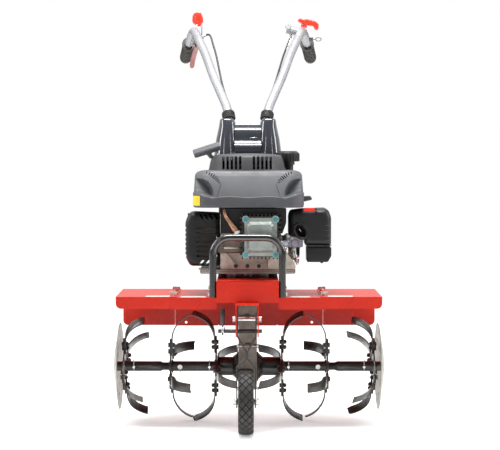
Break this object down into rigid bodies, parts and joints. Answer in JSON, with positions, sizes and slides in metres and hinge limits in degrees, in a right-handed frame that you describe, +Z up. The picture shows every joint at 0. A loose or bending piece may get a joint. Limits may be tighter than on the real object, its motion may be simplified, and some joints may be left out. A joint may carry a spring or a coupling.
{
  "type": "walk-behind petrol tiller",
  "caption": "Petrol garden tiller with bolted curved tines on a horizontal shaft, steel fenders, swing-up front wheel, top-mounted engine, tall handle column and two bent handlebars.",
  "frame": {"origin": "on the ground under the middle of the machine's outer box", "axes": "+Z up, -Y towards the front wheel, +X to the machine's left side as seen by its operator; the rotor shaft lies along X"},
  "size_m": [0.85, 1.1911, 1.361],
  "materials": {
    "red_paint": "gloss orange-red enamel",
    "black_paint": "semi-gloss black enamel",
    "zinc": "bright zinc plate",
    "cast_aluminium": "as cast",
    "bearing_steel": "ground",
    "cast_iron": "as cast",
    "bronze": "machined bronze",
    "seal_rubber": "matte",
    "grip_rubber": "ribbed matte",
    "teal_zinc": "blue-green passivated zinc",
    "porcelain": "glazed ceramic",
    "heat_steel": "heat stained",
    "raw_steel": "bare pressed sheet",
    "black_plastic": "fine grain",
    "filter_foam": "open foam",
    "charcoal_plastic": "moulded fine grain",
    "gloss_black_plastic": "gloss",
    "rim_plastic": "moulded",
    "tyre_rubber": "matte block tread",
    "tube_steel": "satin silver paint",
    "brown_red_plastic": "moulded",
    "red_plastic": "moulded"
  },
  "bodies": {
    "chassis": {"main_frame": "red_paint", "front_bumper": "black_paint", "frame_bolts": "zinc", "wheel_bracket": "red_paint", "gearcase_left": "cast_aluminium", "gearcase_right": "cast_aluminium", "axle_housings": "black_paint", "bearings": "bearing_steel", "shaft_seals": "seal_rubber", "inner_fender_left": "red_paint", "inner_fender_right": "red_paint", "outer_fender_left": "red_paint", "outer_fender_right": "red_paint", "engine_block": "cast_aluminium", "cylinder_head": "cast_aluminium", "valve_cover": "cast_aluminium", "cover_bolts": "teal_zinc", "spark_plug": "porcelain", "ignition_lead": "seal_rubber", "muffler": "heat_steel", "muffler_guard": "black_paint", "carburettor": "cast_aluminium", "air_filter_case": "black_plastic", "air_filter_element": "filter_foam", "engine_cover": "charcoal_plastic", "recoil_housing": "charcoal_plastic", "fuel_tank": "black_plastic", "handle_column": "gloss_black_plastic", "belt": "seal_rubber"},
    "rotor": {"rotor_shaft": "bearing_steel", "worm_wheel": "bronze", "inner_hubs": "black_paint", "outer_hubs": "black_paint", "tines_left": "black_paint", "tines_right": "black_paint", "tine_bolts": "black_paint", "side_discs": "raw_steel", "clevis_pins": "zinc"},
    "worm": {"worm_shaft": "bearing_steel", "driven_pulley": "bearing_steel"},
    "crank": {"crankshaft": "bearing_steel", "flywheel": "cast_iron"},
    "idler_arm": {"idler_arm": "bearing_steel"},
    "idler_wheel": {"idler_wheel": "black_plastic"},
    "fork": {"wheel_fork": "black_paint", "wheel_axle": "zinc"},
    "wheel": {"wheel_rim": "rim_plastic", "tyre": "tyre_rubber"},
    "lock_rod": {"lock_rod": "black_paint"},
    "handlebars": {"handlebar_tubes": "tube_steel", "hand_grips": "grip_rubber", "bar_collars": "seal_rubber", "control_cables": "seal_rubber"},
    "clutch_lever": {"clutch_lever": "brown_red_plastic"},
    "reverse_lever": {"reverse_lever": "red_plastic"},
    "throttle_lever": {"throttle_lever": "red_plastic"},
    "recoil_handle": {"recoil_handle": "charcoal_plastic"},
    "fuel_cap": {"fuel_cap": "black_plastic"},
    "choke_lever": {"choke_lever": "black_plastic"},
    "drag_stake": {"drag_stake": "black_paint"}
  },
  "joints": [
    {"name": "rotor_spin", "type": "hinge", "parent": "chassis", "child": "rotor", "pos_m": [0, -0.2745, 0.1802], "axis": [1, 0, 0], "continuous": true},
    {"name": "worm_spin", "type": "hinge", "parent": "chassis", "child": "worm", "pos_m": [-0.004, -0.3265, 0.3], "axis": [0, 0, 1], "continuous": true},
    {"name": "crank_spin", "type": "hinge", "parent": "chassis", "child": "crank", "pos_m": [-0.004, -0.1995, 0.6], "axis": [0, 0, 1], "continuous": true},
    {"name": "idler_swing", "type": "hinge", "parent": "chassis", "child": "idler_arm", "pos_m": [0.072, -0.1795, 0.451], "axis": [0, 0, 1], "range_deg": [-5, 0]},
    {"name": "idler_spin", "type": "hinge", "parent": "idler_arm", "child": "idler_wheel", "pos_m": [0.062, -0.2625, 0.435], "axis": [0, 0, 1], "continuous": true},
    {"name": "fork_swing", "type": "hinge", "parent": "chassis", "child": "fork", "pos_m": [-0.0065, -0.4965, 0.352], "axis": [-1, 0, 0], "range_deg": [0, 95]},
    {"name": "wheel_spin", "type": "hinge", "parent": "fork", "child": "wheel", "pos_m": [-0.009, -0.4945, 0.101], "axis": [1, 0, 0], "continuous": true},
    {"name": "lock_rod_pull", "type": "slide", "parent": "chassis", "child": "lock_rod", "axis": [0, 0, -1], "range_m": [0, 0.005], "stiffness_N_per_m": 800, "springref_m": -0.01},
    {"name": "handlebar_tilt", "type": "hinge", "parent": "chassis", "child": "handlebars", "pos_m": [-0.004, 0.0355, 0.95], "axis": [1, 0, 0], "range_deg": [-6, 8]},
    {"name": "clutch_squeeze", "type": "hinge", "parent": "handlebars", "child": "clutch_lever", "pos_m": [-0.185, 0.3595, 1.238], "axis": [1, 0, 0], "range_deg": [0, 8], "stiffness_Nm_per_rad": 2, "springref_deg": -11.46},
    {"name": "reverse_push", "type": "hinge", "parent": "handlebars", "child": "reverse_lever", "pos_m": [-0.184, 0.3615, 1.309], "axis": [-1, 0, 0], "range_deg": [0, 20], "stiffness_Nm_per_rad": 1, "springref_deg": -5.73},
    {"name": "throttle_turn", "type": "hinge", "parent": "handlebars", "child": "throttle_lever", "pos_m": [0.198, 0.3885, 1.32], "axis": [0.2419, 0, 0.9703], "range_deg": [-30, 30]},
    {"name": "recoil_pull", "type": "slide", "parent": "chassis", "child": "recoil_handle", "axis": [-0.5548, 0, 0.832], "range_m": [0, 0.45], "stiffness_N_per_m": 40, "springref_m": -0.05},
    {"name": "fuel_cap_turn", "type": "hinge", "parent": "chassis", "child": "fuel_cap", "pos_m": [0.126, -0.1025, 0.84], "axis": [0, 0, 1], "range_deg": [0, 120]},
    {"name": "choke_turn", "type": "hinge", "parent": "chassis", "child": "choke_lever", "pos_m": [0.152, -0.2895, 0.6], "axis": [0, 0, 1], "range_deg": [-50, 0]},
    {"name": "stake_slide", "type": "slide", "parent": "chassis", "child": "drag_stake", "axis": [0, 0, 1], "range_m": [-0.096, 0]}
  ],
  "couplings": [
    {"joint": "worm_spin", "follows": "rotor_spin", "ratio": 16},
    {"joint": "idler_swing", "follows": "clutch_squeeze", "ratio": -0.625}
  ]
}
